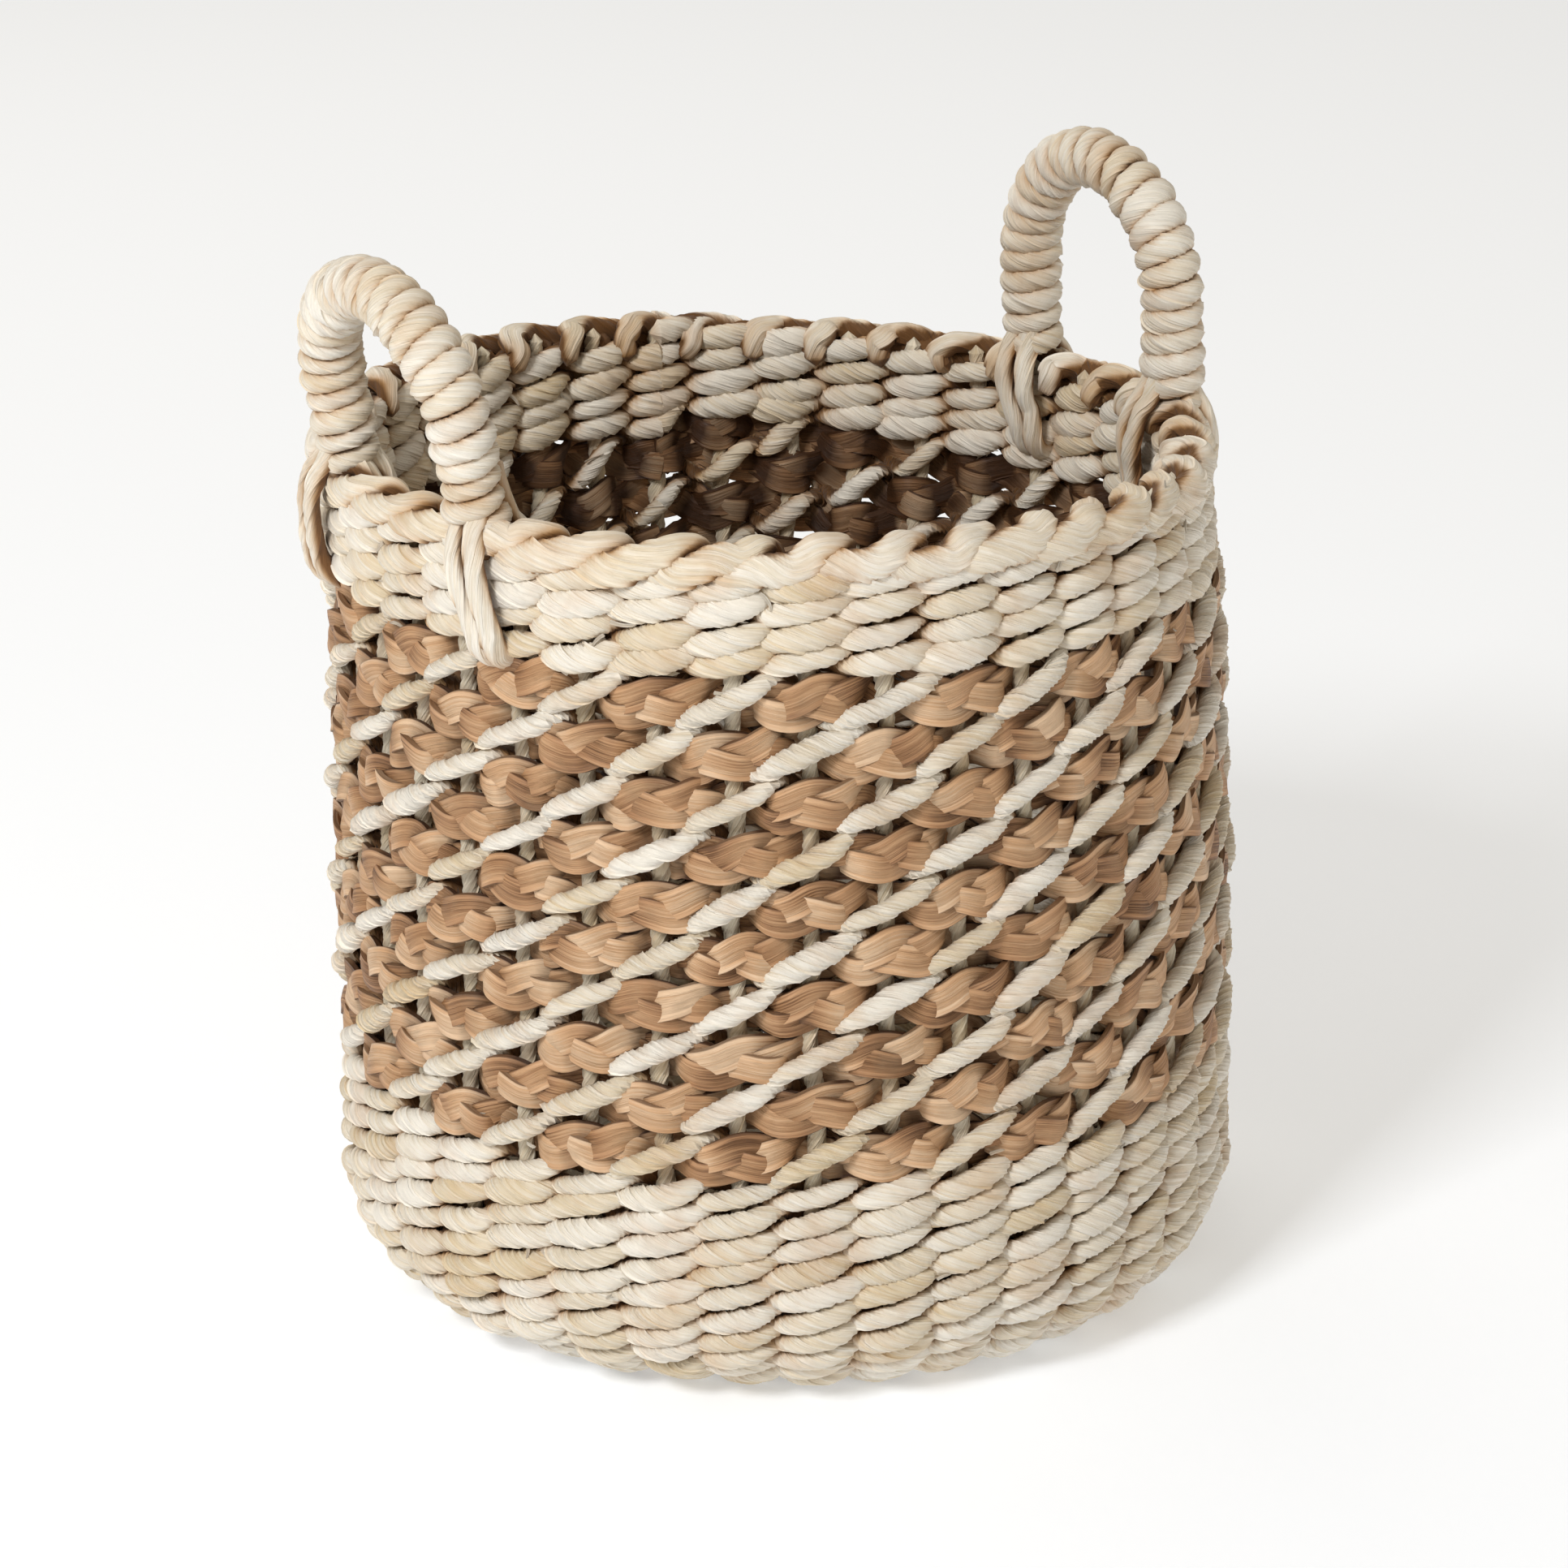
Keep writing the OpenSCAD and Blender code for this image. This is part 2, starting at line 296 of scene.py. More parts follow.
class Nodes:
    """Short hand for building a node tree."""

    def __init__(self, name):
        self.material = bpy.data.materials.new(name)
        self.material.use_nodes = True
        self.tree = self.material.node_tree
        self.shader = self.tree.nodes["Principled BSDF"]

    def add(self, kind, **settings):
        node = self.tree.nodes.new(kind)
        for key, value in settings.items():
            setattr(node, key, value)
        return node

    def link(self, source, target):
        self.tree.links.new(source, target)

    def attribute(self, name):
        return self.add("ShaderNodeAttribute", attribute_name=name).outputs["Fac"]

    def maths(self, operation, a, b=None, clamp=False):
        node = self.add("ShaderNodeMath", operation=operation, use_clamp=clamp)
        for socket, value in zip(node.inputs, (a, b)):
            if isinstance(value, (int, float)):
                socket.default_value = value
            elif value is not None:
                self.link(value, socket)
        return node.outputs[0]

    def noise(self, vector, scale, detail=3.0, rough=0.55):
        node = self.add("ShaderNodeTexNoise")
        node.inputs["Scale"].default_value = scale
        node.inputs["Detail"].default_value = detail
        node.inputs["Roughness"].default_value = rough
        self.link(vector, node.inputs["Vector"])
        return node.outputs["Fac"]

    def stretched(self, vector, scale):
        node = self.add("ShaderNodeMapping")
        node.inputs["Scale"].default_value = scale
        self.link(vector, node.inputs["Vector"])
        return node.outputs["Vector"]

    def ramp(self, value, stops):
        node = self.add("ShaderNodeValToRGB")
        while len(node.color_ramp.elements) < len(stops):
            node.color_ramp.elements.new(0.5)
        for element, (at, colour) in zip(node.color_ramp.elements, stops):
            element.position, element.color = at, (*colour, 1)
        self.link(value, node.inputs["Fac"])
        return node.outputs["Color"]

    def mix(self, share, a, b, kind="MIX"):
        node = self.add("ShaderNodeMix", data_type="RGBA", blend_type=kind)
        pairs = ((node.inputs[0], share), (node.inputs[6], a), (node.inputs[7], b))
        for socket, value in pairs:
            if isinstance(value, (int, float)):
                socket.default_value = value
            elif isinstance(value, tuple):
                socket.default_value = (*value, 1)
            else:
                self.link(value, socket)
        return node.outputs[2]

    def bump(self, height, strength, distance):
        node = self.add("ShaderNodeBump")
        node.inputs["Strength"].default_value = strength
        node.inputs["Distance"].default_value = distance
        self.link(height, node.inputs["Height"])
        self.link(node.outputs["Normal"], self.shader.inputs["Normal"])


def srgb(r, g, b):
    """A colour given as 0 to 255, as the shader wants it."""
    def channel(v):
        v /= 255
        return v / 12.92 if v <= 0.04045 else ((v + 0.055) / 1.055) ** 2.4
    return channel(r), channel(g), channel(b)


def husk_material(name, pale, body, warm_shade_and_patch, deep_shade):
    """Twisted leaf cord: fibre streaks along the twist, warm patches at random, painted warm shade in the
    creases, painted dark shade deep among the rows, each stitch its own paleness.
    """
    n = Nodes(name)
    uv = n.add("ShaderNodeUVMap", uv_map="fibre").outputs["UV"]
    place = n.add("ShaderNodeTexCoord").outputs["Object"]
    fine = n.noise(n.stretched(uv, (22.0, 2.2, 1)), 1.0, 4.0, 0.7)
    broad = n.noise(n.stretched(uv, (7.0, 3.0, 1)), 1.0, 3.0, 0.55)
    patch = n.noise(place, 42.0, 3.0, 0.6)
    light = n.maths("ADD", n.maths("MULTIPLY", fine, 0.75), n.maths("MULTIPLY", broad, 0.45))
    light = n.maths("ADD", light, n.maths("MULTIPLY", n.attribute("shade"), 0.34))
    colour = n.ramp(light, [(0.50, body), (0.88, pale)])
    # Painted warm shade in the creases, together with warm patches at random
    crease_shade_and_patch = n.maths("ADD", n.attribute("tone"), n.maths("MULTIPLY", n.maths("SUBTRACT", patch, 0.50), 1.6))
    colour = n.mix(n.maths("MULTIPLY", crease_shade_and_patch, 0.95, clamp=True), colour, warm_shade_and_patch)
    # Painted deep shade: where the painted shade is strongest, deep among the rows, the colour goes dark
    deep = n.maths("MULTIPLY", n.maths("SUBTRACT", n.attribute("tone"), 0.48), 1.8, clamp=True)
    n.link(n.mix(deep, colour, deep_shade), n.shader.inputs["Base Color"])
    n.shader.inputs["Roughness"].default_value = 0.62
    n.shader.inputs["Specular IOR Level"].default_value = 0.3
    n.shader.inputs["Sheen Weight"].default_value = 0.1
    n.bump(n.maths("ADD", fine, n.maths("MULTIPLY", broad, 1.4)), 0.9, 0.0012)
    return n.material


def leaf_material(name):
    """Brown plaited leaf: lengthwise veins, tan to dark patches, and painted shade in its hollows, under
    other plies and along its edges.
    """
    n = Nodes(name)
    uv = n.add("ShaderNodeUVMap", uv_map="fibre").outputs["UV"]
    place = n.add("ShaderNodeTexCoord").outputs["Object"]
    veins = n.noise(n.stretched(uv, (30.0, 1.6, 1)), 1.0, 4.0, 0.75)
    broad = n.noise(n.stretched(uv, (4.0, 3.0, 1)), 1.0, 3.0, 0.5)
    patch = n.noise(place, 60.0, 4.0, 0.65)
    light = n.maths("ADD", n.maths("MULTIPLY", veins, 0.8), n.maths("MULTIPLY", broad, 0.35))
    light = n.maths("ADD", light, n.maths("MULTIPLY", n.attribute("shade"), 0.45))
    colour = n.ramp(light, [(0.52, srgb(112, 76, 46)), (0.66, srgb(178, 132, 92)),
                            (0.84, srgb(216, 172, 130)), (1.00, srgb(236, 202, 166))])
    colour = n.mix(n.maths("MULTIPLY", n.maths("SUBTRACT", patch, 0.50), 1.5, clamp=True), colour,
                   srgb(178, 148, 114))
    # Painted shade: in hollows, under other plies and along ply edges the colour goes to dark crevice brown
    colour = n.mix(n.maths("MULTIPLY", n.attribute("tone"), 0.9, clamp=True), colour, srgb(72, 44, 22))
    n.link(colour, n.shader.inputs["Base Color"])
    n.shader.inputs["Roughness"].default_value = 0.5
    n.shader.inputs["Specular IOR Level"].default_value = 0.4
    n.bump(n.maths("ADD", veins, n.maths("MULTIPLY", broad, 1.2)), 0.9, 0.0012)
    return n.material


# Each husk's colours: pale, body, warm for the painted crease shade and the random patches, dark for the
# painted deep shade
CREAM, STRAW, GRIP = (husk_material(name, *(srgb(*colour) for colour in colours)) for name, *colours in (
    ("cream_husk", (250, 243, 230), (224, 203, 166), (202, 154, 98), (112, 76, 40)),
    ("straw_husk", (246, 236, 214), (220, 198, 158), (192, 144, 92), (112, 76, 40)),
    ("grip_husk", (251, 245, 233), (230, 211, 178), (206, 160, 104), (120, 82, 46))))
LEAF = leaf_material("brown_leaf")


# ---------------------------------------------------------------- rows

def rows():
    """Every row in working order: name, kind and w of its centre."""
    found = []
    for k in range(BASE_ROUNDS):
        at = FLAT_R - (BASE_ROUNDS - k - 0.5) * BASE_PITCH
        found.append((f"base_round_{k + 1:02d}", "base", at))
    corner_pitch = BEND_R * BEND / CORNER_ROWS
    for k in range(CORNER_ROWS):
        found.append((f"corner_row_{k + 1:02d}", "corner", FLAT_R + (k + 0.5) * corner_pitch))
    for stem, count in (("lower", LOWER_ROWS), ("middle", MIDDLE_ROWS), ("upper", UPPER_ROWS)):
        for k in range(count):
            low, high = node_box(f"{stem}_row_{k + 1:02d}")
            at = FOOT_W + ((low[2] + high[2]) / 2 - FOOT_Z) / math.cos(LEAN)
            found.append((f"{stem}_row_{k + 1:02d}", stem, at))
    return found


ROWS = rows()
BORDER_W = RIM_W - BORDER_H / 2
# Where rows end: over the last CLIMB of its turn a row rises to where the next one starts
SEAM = math.radians(75)
CLIMB = 6 * STAKE_STEP
# Rounds of the base nearer its centre than INNER_W go round every second stake
INNER_W = 50
INNER_STAKES = np.array([k * STAKE_STEP for k in range(0, STAKES - 1, 2)] + [TAU])
ALL_STAKES = np.arange(STAKES + 1) * STAKE_STEP
CORD_STEP, PLAIT_STEP = 1.3, 1.4


def stitches(theta, number, row_w):
    """How many stakes have been passed at theta, counting on by one for each row."""
    stakes = INNER_STAKES if row_w < INNER_W else ALL_STAKES
    return np.interp(theta, stakes, np.arange(len(stakes))) + number


def row_angles(row_w, step):
    """Angles of a row's rings, starting and ending at the seam."""
    r = max(np.linalg.norm(wall(row_w, 0.0)[:2]), 30)
    return np.linspace(0, TAU, int(TAU * r / step) + 1)


def climb_and_drop(phase, peak):
    """A wave that climbs until peak, falls faster after it, and repeats every turn."""
    n = np.arange(1, 5)
    return np.sin(np.multiply.outer(phase, n)) @ (2 * np.sin(n * peak) / (n ** 2 * peak * (math.pi - peak)))


class Strand:
    """The route of one strand of a row, with the random play of its stitches.

    It shows outside for longer than inside by its lead, and climbs until the share crest of half a turn."""

    def __init__(self, number, strand, step, swing, rise, flat, lead, crest, play):
        at = ROWS[number][2]
        following = ROWS[number + 1][2] if number + 1 < len(ROWS) else BORDER_W
        rng = np.random.default_rng(1000 + 10 * number + strand)
        self.theta = row_angles(at, step)
        count = stitches(self.theta, number, at)
        local = count - number
        fade = np.clip(np.minimum(local, local.max() - local), 0, 1) * play
        tables = rng.normal(0, 1, (5, int(local.max()) + 3)).clip(-1.8, 1.8)
        self.play = [between(t, local) for t in tables]
        self.phase = math.pi * (count + strand) + 0.20 * fade * self.play[0]
        climb = smooth(self.theta, TAU - CLIMB, TAU)
        slant = climb_and_drop(self.phase, crest * math.pi)
        self.w = at + climb * (following - at) + rise * slant + 0.6 * fade * self.play[1]
        shown = np.cos(self.phase) + lead
        self.off = swing * np.tanh(flat * shown) / math.tanh(flat * (1 + lead)) + 0.45 * fade * self.play[2]
        self.full = np.where(shown > 0, shown / (1 + lead), -shown / (1 - lead)).clip(0, 1)
        self.points = wall(self.w, self.theta + SEAM, self.off)
        self.normal = wall_normal(self.w, self.theta + SEAM)
        self.length = lengths(self.points)


# Twisted cord of each kind of row: half width, half thickness, share of its width where it dives,
# swing in and out, rise, length of one twist, flatness of the swing, lead, crest, play
STITCH = {
    "base": (4.1, 2.9, 0.64, 5.3, 2.4, 24, 0.9, 0.0, 0.50, 0.7),
    "corner": (4.1, 3.2, 0.62, 5.2, 3.2, 24, 1.1, 0.1, 0.54, 1.0),
    "lower": (4.2, 3.3, 0.60, 5.3, 3.6, 24, 1.3, 0.2, 0.58, 1.1),
    "middle": (3.6, 3.4, 0.60, 6.2, 7.9, 20, 1.5, 0.45, 0.66, 1.1),
    "upper": (4.5, 3.4, 0.60, 5.3, 2.5, 30, 1.3, 0.15, 0.56, 1.2),
}


def cream_strand(mesh, number, strand):
    """A twisted cord: broad where it shows, narrow and deep where it dives between two stakes."""
    half_w, half_t, neck, swing, rise, twist, flat, lead, crest, play = STITCH[ROWS[number][1]]
    route = Strand(number, strand, CORD_STEP, swing, rise, flat, lead, crest, play)
    swell = 1 + 0.13 * route.play[3]
    wide = neck + (1 - neck) * route.full ** 0.7
    deep = 1.25 - 0.25 * route.full ** 0.6
    turn = route.length * TAU / twist + 0.6 * wave(route.length / 30, number * 7 + strand)
    # route.off as depth: painted shade where the cord dives deep among the rows
    mesh.sweep(route.points, route.normal, half_w * wide * swell, half_t * deep * swell ** 0.5,
               husk(route.length, 2000 + 10 * number + strand), turn, 2.1,
               0.5 + 0.35 * route.play[4], 0.0, route.off)


# The brown plait's route, as for a cord
PLAIT_SWING, PLAIT_RISE, PLAIT_FLAT, PLAIT_LEAD, PLAIT_CREST, PLAIT_PLAY = 5.0, 1.8, 1.6, 0.55, 0.68, 0.7
# Length of one beat, how far the plies go to the sides and in and out, and their share of that where it dives
PLAIT_PERIOD, PLAIT_SPREAD, PLAIT_DEPTH, PLAIT_NECK = 54.0, 4.6, 1.3, 0.80
PLY_W, PLY_T, PLY_TILT = 8.4, 1.4, 0.34
BACKING_W, BACKING_T, BACKING_IN = 10.8, 0.5, 1.2
# A ply's columns, close together at its edges: angle, share of the radius, and painted shade along its edges,
# where plies meet
LEAF_FACE = np.arctan2(np.array([-0.97, -0.82, -0.45, 0, 0.45, 0.82, 0.97]) * PLY_W, PLY_T)
LEAF_ANGLES = np.concatenate([LEAF_FACE, LEAF_FACE + math.pi])
LEAF_RIDGE = np.array([1.0, 1.0, 1.05, 1.0, 0.93, 1.04, 1.0, 1.0, 1.0, 0.94, 1.0, 1.04, 1.0, 1.0])
LEAF_EDGE_SHADE = 0.75 * np.array([1.0, 0.2, 0, 0, 0, 0.2, 1.0] * 2)


def brown_plait(mesh, number, strand):
    """Three flat leaf plies plaited together, each going straight from edge to edge, on a broad flat leaf."""
    route = Strand(number, strand, PLAIT_STEP, PLAIT_SWING, PLAIT_RISE, PLAIT_FLAT, PLAIT_LEAD, PLAIT_CREST,
                   PLAIT_PLAY)
    along = unit(np.gradient(route.points, axis=0))
    out = unit(route.normal - (route.normal * along).sum(-1, keepdims=True) * along)
    side = np.cross(along, out)
    full = PLAIT_NECK + (1 - PLAIT_NECK) * smooth(route.full, 0, 0.5)
    backing_w = BACKING_W + 0.3 * wave(route.length / 20, 5000 + number)
    # The backing lies under the plies: its low paleness of 0.3, its tone of 0.35 and its depth paint shade on
    # it
    mesh.sweep(route.points - BACKING_IN * out, out, backing_w, BACKING_T, (LEAF_ANGLES, LEAF_RIDGE),
               0.0, 1.6, 0.3, 0.35, 2 + np.abs(route.off))
    for ply in range(3):
        rng = np.random.default_rng(5000 + 10 * number + ply)
        beat = TAU * route.length / PLAIT_PERIOD + TAU * ply / 3 + 0.5 * wave(route.length / 60, number)
        quarter = beat / (math.pi / 2)
        lift, width, tilt, shade = (between(rng.uniform(-1, 1, int(quarter.max()) + 3), quarter)
                                    for _ in range(4))
        y = PLAIT_SPREAD * full * climb_and_drop(beat, math.pi / 2)
        z = PLAIT_DEPTH * np.sin(2 * beat) + 0.3 * lift
        points = route.points + y[:, None] * side + z[:, None] * out
        normal = out + (PLY_TILT * tilt)[:, None] * side
        # Painted shade: plies lower in the plait, under the others, are darker, and so are each ply's edges
        tone = np.clip(0.45 - 0.8 * smooth(z, -PLAIT_DEPTH, PLAIT_DEPTH), 0, 1)[:, None] + LEAF_EDGE_SHADE
        mesh.sweep(points, normal, PLY_W * full * (1 + 0.08 * width), PLY_T * (1 + 0.15 * lift),
                   (LEAF_ANGLES, LEAF_RIDGE), 0.0, 1.2, 0.5 + 0.5 * shade, tone, 2 + np.abs(route.off + z),
                   rng.uniform(0, 500))


def build_rows():
    for number, (name, kind, _) in enumerate(ROWS):
        for strand in (0, 1):
            mesh = Mesh()
            if kind == "middle" and strand == 0:
                brown_plait(mesh, number, strand)
                piece = mesh.build(f"{name}_plait", LEAF, "basket", sharp=24)
            else:
                cream_strand(mesh, number, strand)
                piece = mesh.build(f"{name}_cord_{'ab'[strand]}", CREAM, "basket", sharp=40)
            if strand == 0:
                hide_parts(name)


# ---------------------------------------------------------------- stakes, border and base cross

STAKE_W, STAKE_T = 2.9, 2.6
STAKE_START, LATE_STAKE_START = 28, 54


def build_stakes():
    mesh = Mesh()
    for k in range(STAKES):
        theta0 = k * STAKE_STEP + SEAM
        start = STAKE_START if k % 2 == 0 and k < STAKES - 1 else LATE_STAKE_START
        w = np.arange(start, BORDER_W - 1, 2.4)
        theta = theta0 + 0.006 * wave(w / 25, 300 + k)
        points = wall(w, theta, 0.3 * wave(w / 18, 400 + k))
        mesh.sweep(points, wall_normal(w, theta), STAKE_W + 0.3 * wave(w / 8, 450 + k), STAKE_T,
                   husk(lengths(points), 600 + k, 3, columns=12), w * TAU / 26 + k, 2.0,
                   0.5 + 0.3 * wave(w / 15, 500 + k), 0.1)
    piece = mesh.build("stakes_cords", STRAW, "basket", sharp=40)
    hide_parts("stakes")


# Route of a folded stake end, as stakes passed, height from the border's centre and distance outward
BORDER_ROUTE = [(-0.25, -5.5, 1.0), (0.0, -4.8, 4.6), (0.4, -4.2, 6.0), (0.8, -2.6, 6.0), (1.12, -0.2, 4.6),
                (1.34, 1.4, 1.0), (1.46, 0.6, -3.0), (1.52, -2.8, -5.2), (1.56, -7.0, -5.2)]


FOLD_W, FOLD_T = 4.7, 3.7


def build_border():
    mesh = Mesh()
    for k in range(STAKES):
        rng = np.random.default_rng(700 + k)
        knots = np.array(BORDER_ROUTE) + rng.normal(0, 1, (len(BORDER_ROUTE), 3)) * (0.04, 0.6, 0.45)
        path = curve_through(knots, 60)
        theta = SEAM + (k + path[:, 0]) * STAKE_STEP
        points = wall(BORDER_W + path[:, 1], theta, path[:, 2])
        middle = wall(BORDER_W - 4.0 + 0 * theta, theta, 0.0)
        length = lengths(points)
        share = length / length[-1]
        swell = rng.uniform(0.9, 1.14) * (0.78 + 0.34 * np.sin(math.pi * share) ** 0.8)
        # Painted shade: darker towards both ends of each fold, where it goes in among the rows, and on its
        # inward side
        mesh.sweep(points, points - middle, FOLD_W * swell, FOLD_T * swell, husk(length, 740 + k, step=0.17),
                   length * TAU / 40 + rng.uniform(0, TAU), 2.1, 0.5 + 0.3 * rng.uniform(-1, 1),
                   0.5 * (1 - np.sin(math.pi * share))[:, None] ** 2, np.full(len(length), 2.2))
    piece = mesh.build("rim_border_folds", CREAM, "basket", sharp=40)
    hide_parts("rim_border")


CROSS_CORDS, CROSS_PITCH = 7, 5.6
CROSS_Z = (2.9, 8.2)
CROSS_R = node_box("base_cross")[1][0] + 6


def build_cross():
    """Two layers of cords that cross in the middle of the base, their ends under the first round."""
    mesh = Mesh()
    for layer, height in enumerate(CROSS_Z):
        for k in range(CROSS_CORDS):
            aside = (k - (CROSS_CORDS - 1) // 2) * CROSS_PITCH
            reach = math.sqrt(CROSS_R ** 2 - aside ** 2)
            x = np.linspace(-reach, reach, 40)
            y = aside + 0.4 * wave(x / 9, 800 + 10 * layer + k)
            z = np.full(len(x), height)
            points = np.stack([x, y, z] if layer == 0 else [y, x, z], -1)
            mesh.sweep(points, (0, 0, 1), 3.0, 2.6, husk(x - x[0], 820 + 10 * layer + k, 3, columns=12),
                       x * TAU / 26, 2.0, 0.5, 0.15)
    piece = mesh.build("base_cross_cords", STRAW, "basket", sharp=40)
    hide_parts("base_cross")


# ---------------------------------------------------------------- handles

# side is -1 for the left handle and 1 for the right one
COILS = 26
COIL_T = 3.6
COIL_START = {-1: -1.2, 1: -8.0}
HANDLE_LEAN = {-1: math.radians(10), 1: math.radians(-2)}
LEG_H, LEG_Y, GRIP_R = 26.5, 40.0, 10.5
BUNDLE_CORDS, BUNDLE_R, BUNDLE_CORD_R = 4, 2.2, 2.3


def rim_shift(side):
    """How far the rim strays along X where a handle's legs stand."""
    theta = math.atan2(LEG_Y, side * RIM_HIGH[0])
    return handmade(theta, RIM_W)[0] * math.cos(theta)


def handle_frame(side):
    """Name, pivot, directions across and up, and width of a leaning handle."""
    name = "left" if side < 0 else "right"
    pivot = joint_at(f"{name}_handle_bend") + (rim_shift(side), 0, 0)
    low, high = node_box(f"{name}_handle_winding")
    up = np.array([side * math.sin(HANDLE_LEAN[side]), 0, math.cos(HANDLE_LEAN[side])])
    return name, pivot, np.array([0.0, side, 0.0]), up, high[1] - low[1]


def hoop(across, up, pivot, arch_r, start, count, seed):
    """A handle's centre line from foot to foot: distance, points, direction out of the arch, curvature."""
    leg = LEG_H - start
    total = 2 * leg + math.pi * arch_r
    s = np.linspace(0, total, count)
    a = np.clip((s - leg) / arch_r, 0, math.pi)
    y = -arch_r * np.cos(a)
    h = start + np.minimum(s, leg) + arch_r * np.sin(a) - np.maximum(s - leg - math.pi * arch_r, 0)
    y = y + 1.0 * wave(s / 40, seed) * np.sin(math.pi * s / total)
    away = -np.cos(a)[:, None] * across + np.sin(a)[:, None] * up
    points = pivot + y[:, None] * across + h[:, None] * up
    bent = smooth(s, leg - 8, leg + 8) * (1 - smooth(s, total - leg - 8, total - leg + 8))
    return s, points, away, bent / arch_r


def build_handle(side):
    name, pivot, across, up, wide = handle_frame(side)
    arch_r = wide / 2 - GRIP_R
    count = COILS * 44
    s, centre, away, bend = hoop(across, up, pivot, arch_r, COIL_START[side], count, 900 + side)
    along = unit(np.gradient(centre, axis=0))
    pitch = s[-1] / COILS
    rng = np.random.default_rng(950 + side)
    turns = s / pitch
    fat, sink, shade = (between(rng.normal(0, 1, COILS + 3).clip(-1.6, 1.6), turns + 0.5) for _ in range(3))
    angle = TAU * turns + 0.25 * wave(turns / 2.5, 960 + side)
    spoke = np.cos(angle)[:, None] * away + np.sin(angle)[:, None] * np.cross(along, away)
    ring_r = GRIP_R - COIL_T + 0.35 * sink
    route = centre + ring_r[:, None] * spoke
    spread = 1 + bend * ring_r * np.cos(angle)
    length = lengths(route)
    mesh = Mesh()
    # depth 2.0 paints shade on the coils' inner side, toward the core
    mesh.sweep(route, spoke, 0.54 * pitch * spread * (1 + 0.13 * fat), COIL_T * (1 + 0.08 * fat),
               husk(length, 970 + side, step=0.10), length * TAU / 27 + 0.8 * wave(length / 45, 980 + side),
               2.0, 0.55 + 0.3 * shade, 0.0, np.full(len(length), 2.0))
    piece = mesh.build(f"{name}_handle_wrap", GRIP, f"{name}_handle", sharp=40)
    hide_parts(f"{name}_handle_winding")
    core = Mesh()
    beside = np.cross(along, away)[::12]
    for k in range(BUNDLE_CORDS):
        a = (TAU * (k + 0.5) / BUNDLE_CORDS + 0.25 * s[::12] / 10)[:, None]
        shift = BUNDLE_R * (np.cos(a) * away[::12] + np.sin(a) * beside)
        core.sweep(centre[::12] + shift, away[::12], BUNDLE_CORD_R, BUNDLE_CORD_R)
    piece = core.build(f"{name}_handle_bundle", STRAW, f"{name}_handle")
    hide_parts(f"{name}_handle_core")
    for end in (-1, 1):
        build_ties(side, end, name, pivot)


# Route of a tie from the winding down the outside, through the wall and up the inside: outward, height
TIE_ROUTE = [(2.5, 18), (4.2, 10), (8.0, 2), (11.6, -4), (13.4, -12), (13.6, -23), (13.0, -32), (11.6, -38),
             (7.5, -42), (0, -43.2), (-7, -42), (-11.0, -38), (-12.4, -32), (-12.8, -23), (-12.8, -12),
             (-11.0, -4), (-7.4, 2), (-4.0, 10), (-2.5, 18)]
# Half the distance between a leg's two ties: heights, distances
TIE_APART = ([-44, -38, -23, -8, 2, 18], [1.7, 2.8, 3.8, 4.3, 3.2, 1.5])
TIE_W, TIE_T = 3.5, 3.0


def build_ties(side, end, name, pivot):
    """Two cords that hang a leg on the wall, from the basket up to the handle."""
    theta = math.atan2(end * LEG_Y, pivot[0])
    gap = (math.floor(theta / STAKE_STEP) + 0.5) * STAKE_STEP
    leg = np.array([joint_at(f"{name}_handle_bend")[0], end * LEG_Y, pivot[2]])
    shift = np.linalg.norm(leg[:2]) * math.sin(gap - theta)
    radial = np.array([math.cos(theta), math.sin(theta), 0])
    beside = np.array([-math.sin(theta), math.cos(theta), 0])
    mesh = Mesh()
    for strand in (-1, 1):
        seed = 990 + 4 * side + 2 * end + strand
        rng = np.random.default_rng(seed)
        knots = np.array(TIE_ROUTE) + rng.normal(0, 0.3, (len(TIE_ROUTE), 2))
        route = curve_through(knots, 130)
        x, z = route[:, 0] + handmade(theta, RIM_W + route[:, 1])[0], route[:, 1]
        sideways = strand * np.interp(z, *TIE_APART) + shift * np.clip(z / -33, 0, 1)
        z = z + COIL_START[side] * smooth(z, -32, -12)
        points = leg + x[:, None] * radial + sideways[:, None] * beside + z[:, None] * np.array([0, 0, 1.0])
        outward = points - (leg + np.array([0, 0, -24.0]))
        outward[:, 2] *= 0.25
        length = lengths(points)
        swell = 1 + 0.10 * wave(length / 22, seed)
        # depth 2.6 paints shade on the ties' inward side
        mesh.sweep(points, outward, TIE_W * swell, TIE_T * swell, husk(length, seed + 30, step=0.16),
                   length * TAU / 60 + seed, 2.0, 0.55, 0.0, np.full(len(length), 2.6))
    word = "front" if end < 0 else "rear"
    piece = mesh.build(f"{name}_handle_{word}_tie_cords", GRIP, None, sharp=40)
    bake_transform(piece)
    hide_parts(f"{name}_handle_{word}_ties")


# ---------------------------------------------------------------- loose husk

WISPS = 110
WISP_TOP, WISP_BOTTOM = 52, 70
WISP_T = 0.22


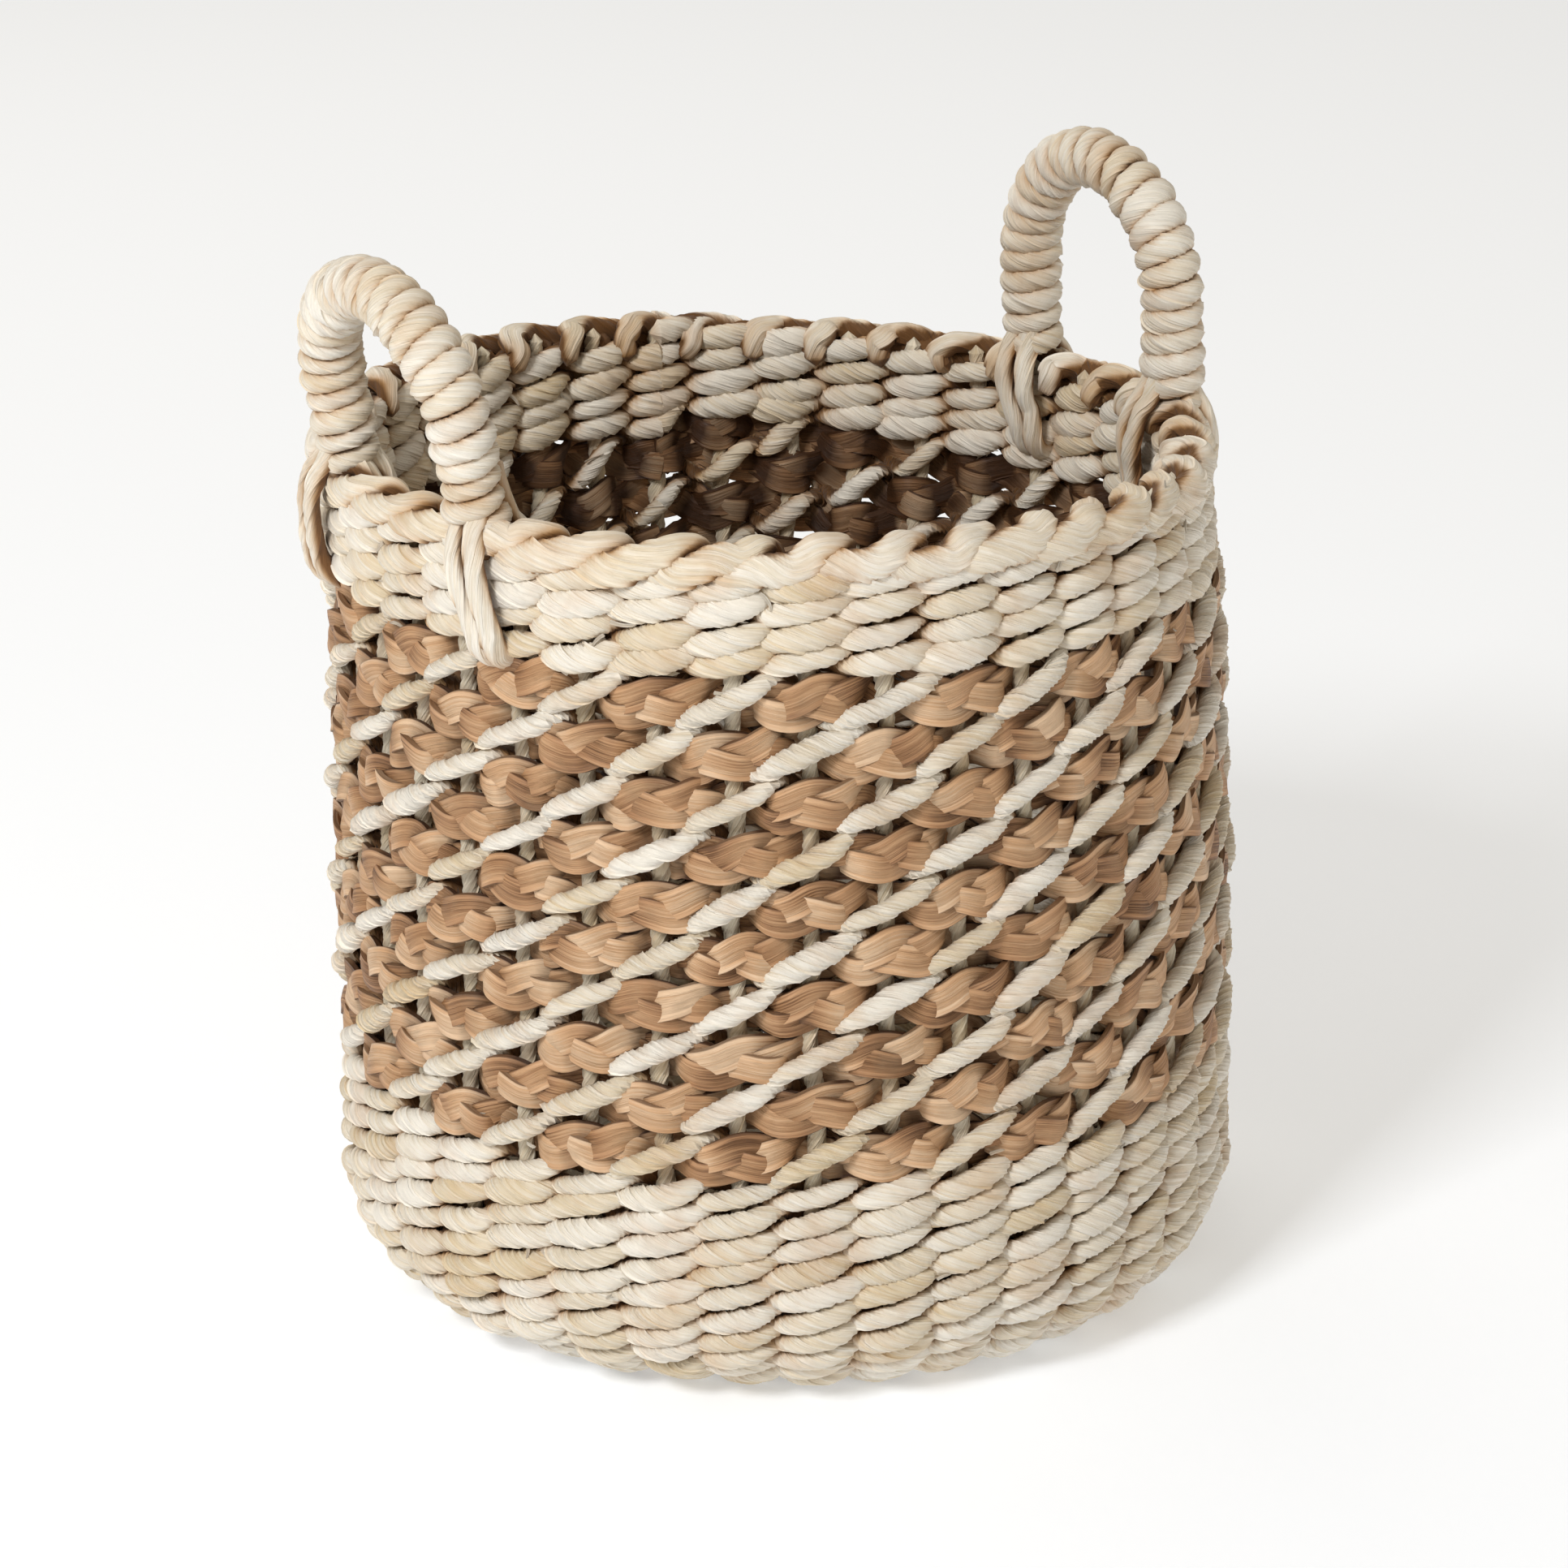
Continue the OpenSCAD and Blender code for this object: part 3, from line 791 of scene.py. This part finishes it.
def build_wisps():
    """Little loose ends of leaf that stand off the cream rows, most of them outside and near the rim."""
    mesh = Mesh()
    rng = np.random.default_rng(40)
    t = np.linspace(0, 1, 9)
    for k in range(WISPS):
        theta, face = rng.uniform(0, TAU), (1 if rng.random() < 0.75 else -1)
        w = RIM_W - 1 - WISP_TOP * rng.random() if k % 4 else FOOT_W - 20 + WISP_BOTTOM * rng.random()
        reach, heading = rng.uniform(4, 9), rng.uniform(-0.9, 0.9) + (k % 2) * math.pi
        lift = rng.uniform(0.3, 2.2)
        bend = rng.uniform(-0.7, 0.7)
        away = reach * t * np.cos(heading + bend * t) / RIM_HIGH[0]
        climb = reach * t * np.sin(heading + bend * t)
        points = wall(w + climb, theta + away, face * (5.8 + lift * t ** 1.5))
        width = rng.uniform(1.0, 2.4) * (1 - t) ** 0.7 + 0.12
        mesh.sweep(points, wall_normal(w + climb, theta + away) + 0.5 * rng.normal(0, 1, 3), width, WISP_T,
                   tone=rng.uniform(0, 0.3))
    piece = mesh.build("loose_husk", CREAM, "basket", sharp=40)


# ---------------------------------------------------------------- stage

# Lamps: place in metres, watts, width, colour
LAMPS = [((-1.78, -0.84, 1.7), 34, 0.6, (1, 1, 1)),
         ((1.9, -1.6, 1.3), 3.0, 1.6, (1, 0.84, 0.62)),
         ((0.3, 1.8, 1.8), 8, 1.5, (1, 0.94, 0.86))]
LAMPS_AIM = (0, 0, 0.17)
FLOOR = 4.0


def build_stage():
    """A pale floor, three soft lamps and a warm pale surround."""
    mesh = bpy.data.meshes.new("floor")
    corners = [(x * FLOOR, y * FLOOR, 0) for x, y in ((-1, -1), (1, -1), (1, 1), (-1, 1))]
    mesh.from_pydata(corners, [], [(0, 1, 2, 3)])
    n = Nodes("pale_floor")
    n.shader.inputs["Base Color"].default_value = (0.87, 0.91, 0.97, 1)
    n.shader.inputs["Roughness"].default_value = 0.9
    n.shader.inputs["Emission Color"].default_value = (0.98, 0.99, 1.0, 1)
    n.shader.inputs["Emission Strength"].default_value = 0.30
    mesh.materials.append(n.material)
    floor = bpy.data.objects.new("floor", mesh)
    bpy.context.collection.objects.link(floor)
    world = bpy.data.worlds.new("studio")
    bpy.context.scene.world = world
    world.use_nodes = True
    world.node_tree.nodes["Background"].inputs["Color"].default_value = (1.0, 0.93, 0.82, 1)
    world.node_tree.nodes["Background"].inputs["Strength"].default_value = 0.42
    for place, energy, wide, tint in LAMPS:
        light = bpy.data.lights.new("soft_box", "AREA")
        light.energy, light.size, light.color = energy, wide, tint
        lamp = bpy.data.objects.new("soft_box", light)
        lamp.location = place
        bpy.context.collection.objects.link(lamp)
        aim = np.array(LAMPS_AIM) - place
        lamp.rotation_euler = Vector(aim).to_track_quat("-Z", "Y").to_euler()
    bpy.context.scene.view_settings.view_transform = "Standard"


CAMERA_AIM, CAMERA_AWAY = (0, 0, 0.155), 1.86
AZIMUTH, ELEVATION, ROLL = (math.radians(a) for a in (-33, 20.5, -0.8))
LENS, SHIFT = 127.4, (0.001, 0.015)


def build_camera():
    """The photograph's viewpoint."""
    back = np.array([math.sin(AZIMUTH) * math.cos(ELEVATION), -math.cos(AZIMUTH) * math.cos(ELEVATION),
                     math.sin(ELEVATION)])
    data = bpy.data.cameras.new("camera")
    data.lens, data.sensor_width = LENS, 36.0
    data.shift_x, data.shift_y = SHIFT
    data.clip_start, data.clip_end = 0.05, 20
    camera = bpy.data.objects.new("camera", data)
    bpy.context.collection.objects.link(camera)
    camera.rotation_mode = "QUATERNION"
    camera.location = np.array(CAMERA_AIM) + CAMERA_AWAY * back
    turn = Vector(-back).to_track_quat("-Z", "Y")
    camera.rotation_quaternion = turn @ Matrix.Rotation(ROLL, 4, "Z").to_quaternion()
    bpy.context.scene.camera = camera


build_camera()
build_rows()
build_stakes()
build_border()
build_cross()
for side in (-1, 1):
    build_handle(side)
build_wisps()
build_stage()
